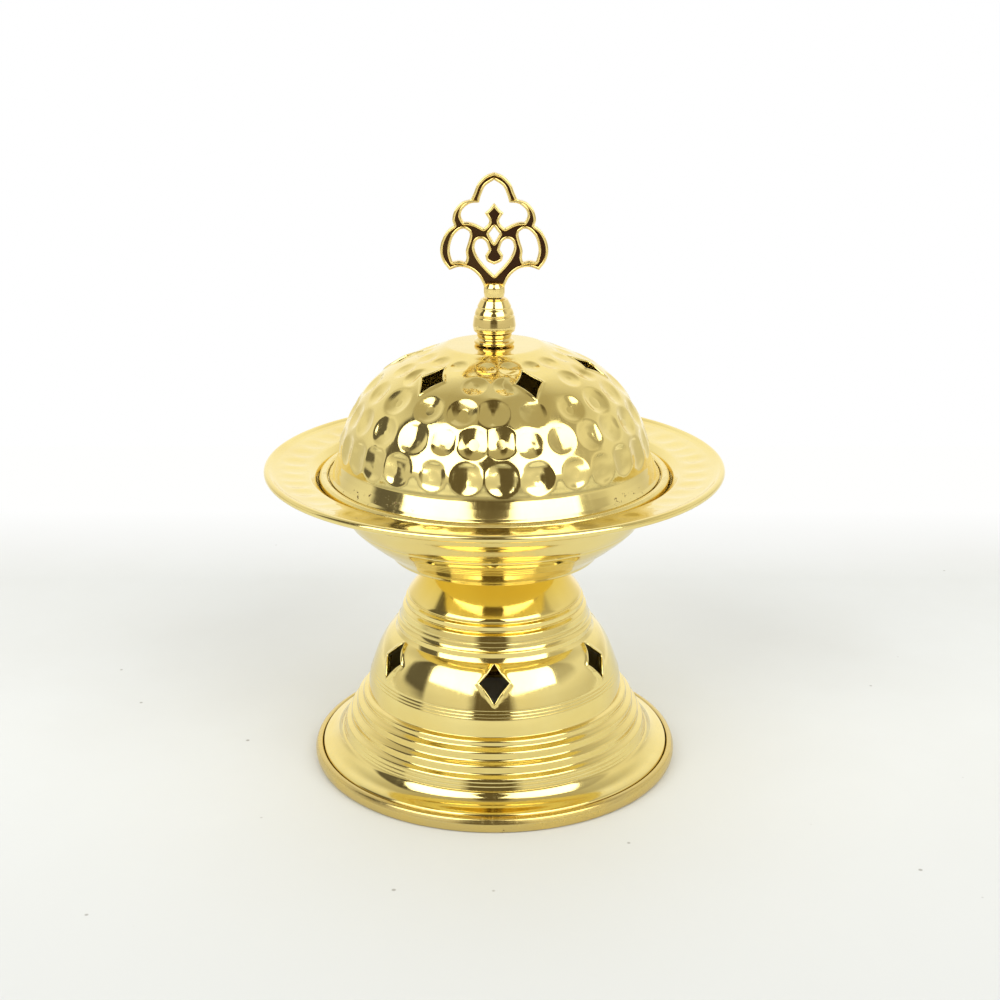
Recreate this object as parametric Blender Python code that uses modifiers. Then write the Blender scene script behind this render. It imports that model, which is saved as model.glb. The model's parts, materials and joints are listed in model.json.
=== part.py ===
"""Table-top brass incense burner: pedestal, wide-rimmed bowl, ember cup and pierced domed lid.

Metres, +Z up, origin on the floor at the centre of the foot. The front faces -Y.
"""

import math

import bmesh
import bpy
from mathutils import Matrix, Vector

MM = 0.001
MERGE = 0.0001

# Driving dimensions, in millimetres.
GAP = 0.3  # left between neighbouring pieces
SHEET = 1.0  # wall of the spun brass pieces
CUP_SHEET = 0.9

FOOT_RADIUS = 57.4
FOOT_HEIGHT = 4.7
SEAM_RADIUS = 54.9  # where the pedestal's flare drops inside the foot ring

BASE_TOP = 65.7
BOWL_BOTTOM = 67.5
RIM_RADIUS = 70.0
RIM_BEAD = 1.1  # radius of the rolled rim
RIM_BEAD_HEIGHT = 95.3

CUP_SEAT = 92.0  # ledge inside the cup that carries the lid
CUP_FLOOR = 75.1
LIP_OUTER = 53.3
LIP_INNER = 50.8
LIP_BOTTOM = 91.6
LIP_TOP = 93.7

LID_EDGE_RADIUS = 50.4
LID_TOP = 132.6

BOLT_RADIUS = 2.9
BOLT_HOLE = 3.3
STUD_RADIUS = 1.9
STUD_HOLE = 2.2

STEM_BOTTOM = 136.4
STEM_TOP = 146.6
CREST_THICKNESS = 2.6
CREST_TOP = 183.3

VENTS = 6
BASE_VENT = {"radius": 35.1, "height": 37.4, "length": 12.4, "width": 9.0, "tilt": 30.3, "turn": 0.0}
LID_VENT = {"radius": 28.1, "height": 126.9, "length": 12.8, "width": 8.6, "tilt": 64.0, "turn": 21.0}

LARGE_STEPS = 36  # facets round the wide pieces
SMALL_STEPS = 20


def clear_scene():
    for obj in list(bpy.data.objects):
        bpy.data.objects.remove(obj, do_unlink=True)


def new_collection(name):
    collection = bpy.data.collections.new(name)
    bpy.context.scene.collection.children.link(collection)
    return collection


def metal(name, color, roughness):
    material = bpy.data.materials.new(name)
    material.use_nodes = True
    shader = material.node_tree.nodes["Principled BSDF"]
    shader.inputs["Base Color"].default_value = (*color, 1.0)
    shader.inputs["Metallic"].default_value = 1.0
    shader.inputs["Roughness"].default_value = roughness
    return material


def add_object(name, mesh, collection, material):
    obj = bpy.data.objects.new(name, mesh)
    collection.objects.link(obj)
    obj.data.materials.append(material)
    return obj


def shade_round(obj):
    """Smooth shading that keeps the turned edges crisp."""
    obj.data.shade_smooth()
    obj.data.set_sharp_from_angle(angle=math.radians(40))


def profile_mesh(name, points, closed):
    mesh = bpy.data.meshes.new(name)
    shape = bmesh.new()
    verts = [shape.verts.new((r * MM, 0, z * MM)) for r, z in points]
    for first, second in zip(verts, verts[1:]):
        shape.edges.new((first, second))
    if closed:
        shape.edges.new((verts[-1], verts[0]))
    shape.to_mesh(mesh)
    shape.free()
    return mesh


def turned(name, points, collection, material, steps=LARGE_STEPS, closed=True):
    """A section of (radius, height) points, top to bottom down its outer side, turned round Z."""
    obj = add_object(name, profile_mesh(name, points, closed), collection, material)
    screw = obj.modifiers.new("turn", "SCREW")
    screw.axis = "Z"
    screw.angle = math.tau
    screw.steps = steps
    screw.render_steps = steps
    screw.use_merge_vertices = True
    screw.merge_threshold = MERGE
    screw.use_smooth_shade = True
    return obj


def offset_outline(points, distance):
    """The same outline moved sideways by distance, to the right of its direction of travel."""
    moved = []
    for index, point in enumerate(points):
        before = Vector(points[max(index - 1, 0)])
        after = Vector(points[min(index + 1, len(points) - 1)])
        here = Vector(point)
        into = (here - before).normalized() if index else (after - here).normalized()
        out = (after - here).normalized() if index < len(points) - 1 else into
        along = (into + out).normalized()
        side = Vector((along.y, -along.x))
        square_on = max(0.6, side.dot(Vector((into.y, -into.x))))
        moved.append(tuple(here + side * distance / square_on))
    return moved


def sheet_section(outline, wall):
    """A closed section: the outer outline, top to bottom, and its inner face back up."""
    return outline + offset_outline(outline, wall)[::-1]


def arc(centre, radius, start, end, count):
    """Points on an arc, with angles in degrees from +X towards +Z."""
    points = []
    for index in range(count):
        angle = math.radians(start + (end - start) * index / (count - 1))
        points.append((centre[0] + radius * math.cos(angle), centre[1] + radius * math.sin(angle)))
    return points


def boolean(obj, other, operation):
    step = obj.modifiers.new(operation.lower(), "BOOLEAN")
    step.operation = operation
    step.solver = "EXACT"
    step.object = other


def hide_cutter(obj):
    obj.hide_render = True
    obj.display_type = "WIRE"


def diamond(length, width):
    """Corners of a diamond whose four sides curve in slightly, as (across, along)."""
    corners = [(0, length / 2), (width / 2, 0), (0, -length / 2), (-width / 2, 0)]
    outline = []
    for index, corner in enumerate(corners):
        after = corners[(index + 1) % 4]
        outline.append(corner)
        outline.append(((corner[0] + after[0]) * 0.44, (corner[1] + after[1]) * 0.44))
    return outline


def vent_cutter(name, vent, collection, material):
    """Six diamond prisms that stand square to the sheet, spread round Z from the front."""
    shape = bmesh.new()
    reach = 4.0
    for number in range(VENTS):
        outline = diamond(vent["length"], vent["width"])
        low = [shape.verts.new((x * MM, y * MM, -reach * MM)) for x, y in outline]
        face = shape.faces.new(low)
        raised = bmesh.ops.extrude_face_region(shape, geom=[face])
        top = [item for item in raised["geom"] if isinstance(item, bmesh.types.BMVert)]
        bmesh.ops.translate(shape, verts=top, vec=(0, 0, 2 * reach * MM))
        place = (
            Matrix.Rotation(math.radians(vent["turn"] + number * 360 / VENTS), 4, "Z")
            @ Matrix.Translation((0, -vent["radius"] * MM, vent["height"] * MM))
            @ Matrix.Rotation(math.radians(90 - vent["tilt"]), 4, "X")
        )
        bmesh.ops.transform(shape, matrix=place, verts=low + top)
    bmesh.ops.recalc_face_normals(shape, faces=shape.faces[:])
    mesh = bpy.data.meshes.new(name)
    shape.to_mesh(mesh)
    shape.free()
    cutter = add_object(name, mesh, collection, material)
    hide_cutter(cutter)
    return cutter


def make_foot_ring(parts, material):
    """Rolled ring that the pedestal's flare drops into; it stands on the floor."""
    outer = FOOT_RADIUS
    section = [
        (SEAM_RADIUS + 0.9, FOOT_HEIGHT),
        (outer - 0.8, FOOT_HEIGHT - 0.5),
        (outer, FOOT_HEIGHT - 1.6),
        (outer, 0.9),
        (outer - 0.7, 0.0),
        (outer - 5.4, 0.0),
        (outer - 5.4, 1.0),
        (SEAM_RADIUS + 0.3, 1.3),
        (SEAM_RADIUS + 0.3, FOOT_HEIGHT - 0.5),
    ]
    return turned("foot_ring", section, parts, material)


def make_pedestal(parts, cutters, material):
    """Spun shell: cap, stepped collars, pierced dome, three more steps and the flare."""
    outline = [
        (BOLT_HOLE, BASE_TOP),
        (15.5, BASE_TOP),
        (19.4, 64.1),
        (22.1, 60.7),
        (25.4, 55.2),
        (27.5, 51.6),
        (27.7, 50.6),
        (29.1, 48.7),
        (30.4, 45.2),
        (30.4, 43.9),
        (31.9, 42.1),
        (35.3, 37.1),
        (38.3, 31.2),
        (40.6, 22.9),
        (41.6, 22.3),
        (42.0, 20.7),
        (43.6, 19.2),
        (43.9, 17.2),
        (45.4, 15.5),
        (45.9, 13.5),
        (47.3, 12.3),
        (48.5, 8.6),
        (51.6, 6.6),
        (SEAM_RADIUS, 4.4),
        (SEAM_RADIUS, 1.6),
    ]
    shell = turned("pedestal", sheet_section(outline, SHEET), parts, material)
    boolean(shell, vent_cutter("pedestal_vent_cutter", BASE_VENT, cutters, material), "DIFFERENCE")
    return shell


def make_bowl(parts, material):
    """Spun bowl with a broad rising rim rolled over at its edge and a ledge for the ember cup."""
    centre = (RIM_RADIUS - RIM_BEAD, RIM_BEAD_HEIGHT)
    outline = arc(centre, RIM_BEAD, 100, -80, 7) + [
        (67.6, 94.5),
        (57.0, 93.3),
        (55.4, 92.2),
        (54.7, 90.4),
        (52.6, 89.9),
        (50.9, 88.4),
        (48.5, 84.6),
        (46.3, 81.1),
        (44.1, 78.2),
        (39.1, 73.7),
        (34.5, 70.2),
        (31.6, BOWL_BOTTOM),
        (BOLT_HOLE, BOWL_BOTTOM),
    ]
    inner = offset_outline(outline[7:], SHEET)
    return turned("bowl", outline + inner[::-1], parts, material)


def make_ember_cup(parts, material):
    """Lift-out cup for the charcoal: a thick rolled lip, a ledge for the lid and a round bowl."""
    wall = [
        (47.9, LIP_BOTTOM - 0.6),
        (47.1, 89.6),
        (45.6, 85.4),
        (42.3, 81.0),
        (37.2, 77.2),
        (30.0, CUP_FLOOR - CUP_SHEET + 0.3),
        (24.0, CUP_FLOOR - CUP_SHEET),
        (0.0, CUP_FLOOR - CUP_SHEET),
    ]
    inner = offset_outline(wall, CUP_SHEET)
    inner[-1] = (0.0, CUP_FLOOR)
    section = [
        (LIP_OUTER - 1.1, LIP_TOP),
        (LIP_OUTER - 0.3, LIP_TOP - 0.4),
        (LIP_OUTER, LIP_TOP - 1.1),
        (LIP_OUTER, LIP_BOTTOM + 0.3),
        (LIP_OUTER - 0.4, LIP_BOTTOM),
        (LIP_INNER - 0.4, LIP_BOTTOM - 0.5),
    ]
    section += wall + inner[:0:-1]
    section += [(inner[0][0] + 0.2, CUP_SEAT), (LIP_INNER, CUP_SEAT), (LIP_INNER, LIP_TOP - 0.7)]
    section += [(LIP_INNER + 0.5, LIP_TOP - 0.1)]
    return turned("ember_cup", close_on_axis(section), parts, material, closed=False)


def close_on_axis(section):
    """Starts and ends a section on the axis, so that it turns into a solid with no hole."""
    on_axis = [index for index, point in enumerate(section) if point[0] == 0.0]
    lower = on_axis[0]
    return section[lower + 1:] + section[:lower + 1]


def make_lid(parts, cutters, material):
    """Domed lid with a flat crown, six diamond vents and a plain flared brim."""
    outline = [
        (STUD_HOLE, LID_TOP),
        (10.0, LID_TOP),
        (14.5, 132.1),
        (20.9, 129.9),
        (26.2, 127.9),
        (30.8, 125.6),
        (34.7, 122.9),
        (38.0, 119.8),
        (41.0, 115.9),
        (43.8, 111.0),
        (46.0, 106.0),
        (47.2, 101.5),
        (48.2, 97.3),
        (49.8, 94.0),
        (LID_EDGE_RADIUS, 93.2),
        (LID_EDGE_RADIUS, CUP_SEAT + GAP),
    ]
    lid = turned("lid", sheet_section(outline, SHEET), parts, material)
    boolean(lid, vent_cutter("lid_vent_cutter", LID_VENT, cutters, material), "DIFFERENCE")
    return lid


def washer(name, outer, hole, bottom, thickness, parts, material):
    top = bottom + thickness
    section = [(outer, top), (outer, bottom), (hole, bottom), (hole, top)]
    return turned(name, section, parts, material, SMALL_STEPS)


def hex_nut(name, across_flats, hole, bottom, height, parts, cutters, material):
    """Six-sided nut, its hole left plain."""
    shape = bmesh.new()
    corner = across_flats / math.sqrt(3)
    bmesh.ops.create_cone(
        shape,
        cap_ends=True,
        segments=6,
        radius1=corner * MM,
        radius2=corner * MM,
        depth=height * MM,
        matrix=Matrix.Translation((0, 0, (bottom + height / 2) * MM)),
    )
    mesh = bpy.data.meshes.new(name)
    shape.to_mesh(mesh)
    shape.free()
    nut = add_object(name, mesh, parts, material)
    section = [(0, bottom + height + 1), (hole, bottom + height + 1), (hole, bottom - 1), (0, bottom - 1)]
    drill = turned(name + "_drill", section, cutters, material, SMALL_STEPS, closed=False)
    hide_cutter(drill)
    boolean(nut, drill, "DIFFERENCE")
    return nut


def make_bowl_fastening(parts, cutters, brass, steel):
    """Pan-head bolt, washers, spacer and nut that clamp the bowl to the pedestal's cap."""
    washer("bowl_spacer", 13.0, BOLT_HOLE, BASE_TOP + GAP, 1.2, parts, brass)
    washer("bowl_washer", 8.0, BOLT_HOLE, BOWL_BOTTOM + SHEET + GAP, 0.8, parts, steel)
    head = BOWL_BOTTOM + SHEET + 2 * GAP + 0.8
    section = [
        (0, head + 3.0),
        (2.6, head + 2.8),
        (4.7, head + 2.0),
        (5.5, head + 0.6),
        (5.5, head),
        (BOLT_RADIUS, head),
        (BOLT_RADIUS, 56.4),
        (BOLT_RADIUS - 0.5, 55.9),
        (0, 55.9),
    ]
    turned("bowl_bolt", section, parts, steel, SMALL_STEPS, closed=False)
    under = BASE_TOP - SHEET - GAP
    washer("pedestal_washer", 8.0, BOLT_HOLE, under - 0.8, 0.8, parts, steel)
    hex_nut("bowl_nut", 10.0, BOLT_RADIUS + GAP, under - 0.8 - GAP - 4.0, 4.0, parts, cutters, steel)


def make_finial_fastening(parts, cutters, steel):
    """Stud up the middle of the finial, with a washer and nut inside the lid."""
    under = LID_TOP - SHEET - GAP
    section = [
        (0, 149.3),
        (STUD_RADIUS - 0.4, 149.3),
        (STUD_RADIUS, 148.9),
        (STUD_RADIUS, 125.2),
        (STUD_RADIUS - 0.4, 124.8),
        (0, 124.8),
    ]
    turned("finial_stud", section, parts, steel, SMALL_STEPS, closed=False)
    washer("lid_washer", 6.5, STUD_HOLE, under - 0.8, 0.8, parts, steel)
    hex_nut("finial_nut", 7.0, STUD_HOLE, under - 0.8 - GAP - 3.0, 3.0, parts, cutters, steel)


def make_finial_collar(parts, material):
    """Small spreading foot between the stem and the lid's crown."""
    bottom = LID_TOP + GAP
    section = [
        (4.9, STEM_BOTTOM - GAP),
        (5.1, 135.2),
        (4.7, 134.7),
        (5.2, 134.2),
        (6.0, 133.6),
        (6.0, bottom),
        (STUD_HOLE, bottom),
        (STUD_HOLE, STEM_BOTTOM - GAP),
    ]
    return turned("finial_collar", section, parts, material, SMALL_STEPS)


def make_finial_stem(parts, material):
    """Turned pear-shaped stem with three cut rings."""
    section = [
        (3.4, STEM_TOP),
        (3.9, 146.2),
        (4.5, 144.7),
        (5.6, 142.6),
        (6.0, 141.5),
        (5.8, 141.2),
        (6.4, 140.8),
        (6.6, 139.5),
        (6.4, 138.2),
        (5.3, STEM_BOTTOM),
        (STUD_HOLE, STEM_BOTTOM),
        (STUD_HOLE, STEM_TOP),
    ]
    return turned("finial_stem", section, parts, material, SMALL_STEPS)


def mirrored(half):
    """A half outline at +X, top to bottom, followed by its other half back up."""
    back = [(-x, z) for x, z in reversed(half) if x > 0.01]
    return half + back


CREST_EDGE = [
    (0.0, CREST_TOP),
    (2.6, 182.2),
    (4.9, 180.0),
    (5.9, 177.4),
    (6.8, 175.5),
    (9.6, 174.5),
    (11.6, 172.2),
    (12.1, 169.8),
    (11.8, 168.0),
    (13.9, 166.2),
    (15.5, 163.2),
    (15.8, 160.6),
    (15.0, 157.6),
    (13.2, 155.0),
    (10.3, 156.0),
    (7.2, 155.4),
    (4.8, 153.4),
    (3.4, 151.0),
    (2.6, 149.0),
]
CREST_ARCH = [
    (0.0, 181.1),
    (2.6, 179.4),
    (3.7, 176.8),
    (4.2, 174.8),
    (6.9, 174.4),
    (9.0, 172.9),
    (9.6, 170.8),
    (8.4, 169.0),
    (5.6, 168.6),
    (3.1, 167.1),
    (1.6, 168.9),
    (1.5, 170.2),
    (2.6, 171.7),
    (0.0, 174.5),
]
CREST_LOZENGE = [(0.0, 167.6), (1.5, 165.7), (0.0, 162.8)]
CREST_HEART = [
    (0.0, 153.2),
    (3.1, 156.0),
    (5.2, 158.6),
    (6.4, 161.5),
    (5.7, 163.6),
    (3.9, 164.1),
    (2.4, 163.2),
    (1.4, 161.0),
    (2.7, 159.2),
    (1.8, 157.5),
    (0.0, 156.8),
]
CREST_SIDE = [
    (6.6, 166.4),
    (8.4, 167.1),
    (10.3, 166.8),
    (12.6, 164.9),
    (13.6, 162.4),
    (13.8, 160.0),
    (12.9, 157.4),
    (8.4, 157.3),
    (7.6, 158.2),
    (7.8, 160.6),
    (7.0, 163.0),
]


def crest_plate(cutters, material):
    """Openwork plate: the lobed edge and its openings as one flat curve, then given its thickness."""
    curve = bpy.data.curves.new("crest_plate", "CURVE")
    curve.dimensions = "2D"
    curve.fill_mode = "BOTH"
    curve.extrude = CREST_THICKNESS / 2 * MM
    side = [(-x, z) for x, z in CREST_SIDE]
    outlines = [mirrored(CREST_EDGE), mirrored(CREST_ARCH), mirrored(CREST_LOZENGE)]
    outlines += [mirrored(CREST_HEART), CREST_SIDE, side]
    for outline in outlines:
        spline = curve.splines.new("POLY")
        spline.points.add(len(outline) - 1)
        spline.use_cyclic_u = True
        for point, (x, z) in zip(spline.points, outline):
            point.co = (x * MM, z * MM, 0, 1)
    flat = bpy.data.objects.new("crest_curve", curve)
    bpy.context.scene.collection.objects.link(flat)
    flat.rotation_euler = (math.radians(90), 0, 0)
    bpy.context.view_layer.update()
    graph = bpy.context.evaluated_depsgraph_get()
    mesh = bpy.data.meshes.new_from_object(flat.evaluated_get(graph))
    mesh.transform(flat.matrix_world)
    bpy.data.objects.remove(flat, do_unlink=True)
    shape = bmesh.new()
    shape.from_mesh(mesh)
    bmesh.ops.remove_doubles(shape, verts=shape.verts[:], dist=0.00001)
    bmesh.ops.recalc_face_normals(shape, faces=shape.faces[:])
    shape.to_mesh(mesh)
    shape.free()
    return add_object("crest_plate", mesh, cutters, material)


def make_finial_crest(parts, cutters, material):
    """Cast openwork crest on a round boss that the stud screws into."""
    bottom = STEM_TOP + GAP
    section = [(0, 151.6), (2.3, 151.2), (3.5, 149.9), (3.6, 148.4), (3.3, bottom), (0, bottom)]
    crest = turned("finial_crest", section, parts, material, SMALL_STEPS, closed=False)
    plate = crest_plate(cutters, material)
    hide_cutter(plate)
    bore = [(0, 149.7), (STUD_HOLE, 149.7), (STUD_HOLE, bottom - 1), (0, bottom - 1)]
    drill = turned("crest_drill", bore, cutters, material, SMALL_STEPS, closed=False)
    hide_cutter(drill)
    boolean(crest, plate, "UNION")
    boolean(crest, drill, "DIFFERENCE")
    return crest


def main():
    clear_scene()
    parts = new_collection("incense_burner")
    cutters = new_collection("cutters")
    spun = metal("spun_brass", (0.83, 0.64, 0.27), 0.16)
    cast = metal("cast_brass", (0.80, 0.58, 0.24), 0.14)
    steel = metal("plated_steel", (0.62, 0.61, 0.58), 0.3)
    make_foot_ring(parts, spun)
    make_pedestal(parts, cutters, spun)
    make_bowl(parts, spun)
    make_bowl_fastening(parts, cutters, spun, steel)
    make_ember_cup(parts, spun)
    make_lid(parts, cutters, spun)
    make_finial_collar(parts, cast)
    make_finial_stem(parts, cast)
    make_finial_crest(parts, cutters, cast)
    make_finial_fastening(parts, cutters, steel)


main()
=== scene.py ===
import json
import math
import random
from bisect import bisect_right

import bmesh
import bpy
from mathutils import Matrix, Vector, noise
from mathutils.kdtree import KDTree

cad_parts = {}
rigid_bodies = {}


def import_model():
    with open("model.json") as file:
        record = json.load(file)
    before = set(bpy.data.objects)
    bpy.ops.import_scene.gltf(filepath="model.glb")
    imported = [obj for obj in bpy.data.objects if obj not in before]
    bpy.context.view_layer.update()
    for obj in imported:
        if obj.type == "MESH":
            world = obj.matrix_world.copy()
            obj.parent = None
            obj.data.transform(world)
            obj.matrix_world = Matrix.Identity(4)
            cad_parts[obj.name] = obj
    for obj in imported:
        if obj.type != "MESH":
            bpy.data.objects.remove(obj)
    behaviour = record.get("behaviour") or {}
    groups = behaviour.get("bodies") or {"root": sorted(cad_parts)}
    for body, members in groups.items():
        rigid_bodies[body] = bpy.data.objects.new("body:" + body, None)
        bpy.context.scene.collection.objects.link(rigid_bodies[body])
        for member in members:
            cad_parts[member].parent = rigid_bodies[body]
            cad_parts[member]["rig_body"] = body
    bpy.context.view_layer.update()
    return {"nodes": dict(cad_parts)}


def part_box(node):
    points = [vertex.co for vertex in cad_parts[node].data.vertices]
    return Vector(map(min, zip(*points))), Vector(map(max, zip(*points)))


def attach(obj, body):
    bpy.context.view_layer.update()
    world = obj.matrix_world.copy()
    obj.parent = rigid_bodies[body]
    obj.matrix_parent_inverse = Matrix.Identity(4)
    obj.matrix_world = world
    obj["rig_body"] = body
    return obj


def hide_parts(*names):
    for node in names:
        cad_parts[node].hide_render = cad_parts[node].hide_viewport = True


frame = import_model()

mm = 0.001
sectors = 12  # a full turn is made as this many equal parts
weld = 0.002 * mm
chance = random.Random(11)

# The burner is brass throughout: spun shells, a hammered lid and a cast finial.
# Every size below is in millimetres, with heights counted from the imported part.


def levels(node):
    low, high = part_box(node)
    return low.z / mm, high.z / mm, high.x / mm  # bottom, top, radius


def roundCorners(corners, closed=False):
    # Each corner is (radius, height) or (radius, height, fillet).
    path = []
    count = len(corners)
    for index, corner in enumerate(corners):
        here = Vector(corner[:2])
        fillet = corner[2] if len(corner) > 2 else 0
        atEnd = not closed and index in (0, count - 1)
        if fillet == 0 or atEnd:
            path.append(here)
            continue
        before = Vector(corners[index - 1][:2]) - here
        after = Vector(corners[(index + 1) % count][:2]) - here
        opening = before.angle(after)
        reach = min(fillet / math.tan(opening / 2), 0.49 * before.length, 0.49 * after.length)
        start = here + before.normalized() * reach
        end = here + after.normalized() * reach
        inward = (before.normalized() + after.normalized()).normalized()
        middle = here + inward * reach / math.cos(opening / 2)
        radius = (start - middle).length
        first, last = (start - middle) / radius, (end - middle) / radius
        steps = max(2, math.ceil(math.degrees(math.pi - opening) / 14))
        for step in range(steps + 1):
            path.append(middle + first.slerp(last, step / steps) * radius)
    return path


def curveThrough(points, spacing):
    # A smooth line through the points, with the ends pointing at their neighbours.
    points = [Vector(point) for point in points]
    ends = [points[0] * 2 - points[1]] + points + [points[-1] * 2 - points[-2]]
    path = [points[0]]
    for a, b, c, d in zip(ends, ends[1:], ends[2:], ends[3:]):
        steps = max(1, round((c - b).length / spacing))
        for step in range(1, steps + 1):
            t = step / steps
            bend = (2 * a - 5 * b + 4 * c - d) * t * t + (3 * b - a - 3 * c + d) * t ** 3
            path.append(0.5 * (2 * b + (c - a) * t + bend))
    return path


def cutLines(start, end, lines, depth):
    # A straight run with fine lines cut into it, on the right of its direction.
    start, end = Vector(start), Vector(end)
    along = end - start
    inward = Vector((along.y, -along.x)).normalized() * depth
    path = [start]
    for line in range(lines):
        middle = start + along * (line + 0.5) / lines
        half = along * 0.2 / lines
        path += [middle - half, middle + inward, middle + half]
    return path + [end]


def offsetPath(points, distance):
    # The same path moved to the right of its direction.
    moved = []
    for index, point in enumerate(points):
        before = Vector(points[max(index - 1, 0)])
        after = Vector(points[min(index + 1, len(points) - 1)])
        here = Vector(point)
        into = (here - before).normalized() if index else (after - here).normalized()
        out = (after - here).normalized() if index < len(points) - 1 else into
        along = (into + out).normalized()
        side = Vector((along.y, -along.x))
        moved.append(here + side * distance / max(0.6, side.dot(Vector((into.y, -into.x)))))
    return moved


def marksAlong(path):
    marks = [0.0]
    for first, second in zip(path, path[1:]):
        marks.append(marks[-1] + (second - first).length)
    return marks


def pointAt(path, marks, distance):
    distance = min(max(distance, 0.0), marks[-1])
    index = min(bisect_right(marks, distance), len(marks) - 1) - 1
    length = marks[index + 1] - marks[index]
    share = (distance - marks[index]) / length if length > 1e-9 else 0.0
    return path[index].lerp(path[index + 1], share)


def outwardAt(path, marks, distance):
    run = pointAt(path, marks, distance + 0.2) - pointAt(path, marks, distance - 0.2)
    return Vector((-run.y, run.x)).normalized()


def nearestMark(path, marks, target):
    steps = 600
    tries = [marks[-1] * step / steps for step in range(steps + 1)]
    return min(tries, key=lambda mark: (pointAt(path, marks, mark) - target).length)


def ringMarks(marks, spacing, vent):
    # Where the turned wall has its rings: every point of the path, and evenly beside the vents.
    rings = []
    for first, second in zip(marks, marks[1:]):
        count = max(1, math.ceil((second - first) / spacing))
        rings += [first + (second - first) * step / count for step in range(count)]
    rings.append(marks[-1])
    centre, above, below, reach = vent["mark"], vent["above"], vent["below"], vent["reach"]
    rings = [ring for ring in rings if ring < centre - above - 0.02 or ring > centre + below + 0.02]
    rings += [centre - above * step / reach for step in range(reach, 0, -1)]
    rings += [centre + below * step / reach for step in range(reach + 1)]
    rings.sort()
    return rings, min(range(len(rings)), key=lambda index: abs(rings[index] - centre))


def spinPath(shape, points, columns):
    # Turns a line of (radius, height) points round the upright axis: a twelfth, then its copies.
    rowLayer = shape.verts.layers.int.get("row") or shape.verts.layers.int.new("row")
    before = set(shape.verts)
    line = []
    for index, point in enumerate(points):
        vert = shape.verts.new((0, -point[0] * mm, point[1] * mm))
        vert[rowLayer] = index
        line.append(vert)
    edges = [shape.edges.new(pair) for pair in zip(line, line[1:])]
    share = math.tau / sectors
    bmesh.ops.spin(
        shape, geom=line + edges, cent=(0, 0, 0), axis=(0, 0, 1), angle=share, steps=columns // sectors
    )
    verts = [vert for vert in shape.verts if vert not in before]
    faces = list({face for vert in verts for face in vert.link_faces})
    sides = list({edge for vert in verts for edge in vert.link_edges})
    bmesh.ops.spin(
        shape, geom=verts + sides + faces, cent=(0, 0, 0), axis=(0, 0, 1), angle=math.tau - share,
        steps=sectors - 1, use_duplicate=True,
    )
    verts = [vert for vert in shape.verts if vert not in before]
    bmesh.ops.remove_doubles(shape, verts=verts, dist=weld)
    return [vert for vert in verts if vert.is_valid]


def turnedWall(shape, path, columns, spacing, vent):
    # One wall of a shell; returns its first ring, its last ring and the rings left round the vents.
    marks = marksAlong(path)
    vent = dict(vent, mark=nearestMark(path, marks, vent["target"]))
    rings, middle = ringMarks(marks, spacing, vent)
    verts = spinPath(shape, [pointAt(path, marks, ring) for ring in rings], columns)
    rowLayer = shape.verts.layers.int["row"]
    turn = math.tau / columns
    grid = {}
    for vert in verts:
        column = round(math.atan2(vert.co.x, -vert.co.y) / turn) % columns
        grid[vert[rowLayer], column] = vert
    ventRings = []
    for angle in ventTurns(vent):
        ventRings.append(openVent(shape, grid, path, marks, vent, middle, round(angle / turn), columns))
    ends = []
    for row in (0, len(rings) - 1):
        loop = [grid[row, column] for column in range(columns)]
        ends.append([shape.edges.get((loop[k], loop[(k + 1) % columns])) for k in range(columns)])
    return ends[0], ends[1], ventRings


def ventTurns(vent):
    return [math.radians(vent["turn"] + number * 360 / vent["count"]) for number in range(vent["count"])]


def openVent(shape, grid, path, marks, vent, middle, firstColumn, columns):
    # Draws the rings of the wall round a diamond, raises its punched lip and opens it.
    turn = math.tau / columns
    reach, hole = vent["reach"], vent["hole"]
    lip = vent["lip"]
    inside = []
    outline = {}
    for across in range(-reach, reach + 1):
        for down in range(-reach, reach + 1):
            vert = grid[middle + down, (firstColumn + across) % columns]
            ring = max(abs(across), abs(down))
            if ring < hole:
                inside.append(vert)
                continue
            edgeAcross = across * reach / ring
            edgeDown = down * reach / ring
            edgeMark = edgeDown * (vent["below"] if down > 0 else vent["above"]) / reach
            edgeRadius = pointAt(path, marks, vent["mark"] + edgeMark).x
            square = Vector((edgeAcross * turn * edgeRadius, edgeMark))
            heading = math.atan2(down, across)
            share = abs(math.cos(heading)) / (abs(math.cos(heading)) + abs(math.sin(heading)))
            pinch = 1 - vent["hollow"] * 4 * share * (1 - share)
            diamond = Vector((
                math.copysign(share * vent["width"] / 2, across) * pinch,
                math.copysign((1 - share) * vent["length"] / 2, down) * pinch,
            ))
            blend = ((ring - hole) / (reach - hole)) ** 1.7
            place = diamond.lerp(square, blend)
            spot = pointAt(path, marks, vent["mark"] + place.y)
            away = (place - diamond).length
            raised = lip * math.exp(-(((away - 0.35) / 0.42) ** 2))
            spot = spot + outwardAt(path, marks, vent["mark"] + place.y) * raised
            angle = firstColumn * turn + place.x / max(spot.x, 1)
            vert.co = aroundAxis(spot.x, angle, spot.y) * mm
            if ring == hole:
                outline[across, down] = vert
    bmesh.ops.delete(shape, geom=inside, context="VERTS")
    edges = []
    for (across, down), vert in outline.items():
        for nextAcross, nextDown in ((across + 1, down), (across, down + 1)):
            other = outline.get((nextAcross, nextDown))
            edge = shape.edges.get((vert, other)) if other else None
            if edge and len(edge.link_faces) == 1:
                edges.append(edge)
    return edges


def closeShell(shape, outer, inner):
    # Joins an outer wall to its inner wall at both ends and inside each vent.
    bmesh.ops.bridge_loops(shape, edges=outer[0] + inner[0])
    bmesh.ops.bridge_loops(shape, edges=outer[1] + inner[1])
    for outerVent, innerVent in zip(outer[2], inner[2]):
        bmesh.ops.bridge_loops(shape, edges=outerVent + innerVent)
    bmesh.ops.recalc_face_normals(shape, faces=shape.faces[:])


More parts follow.
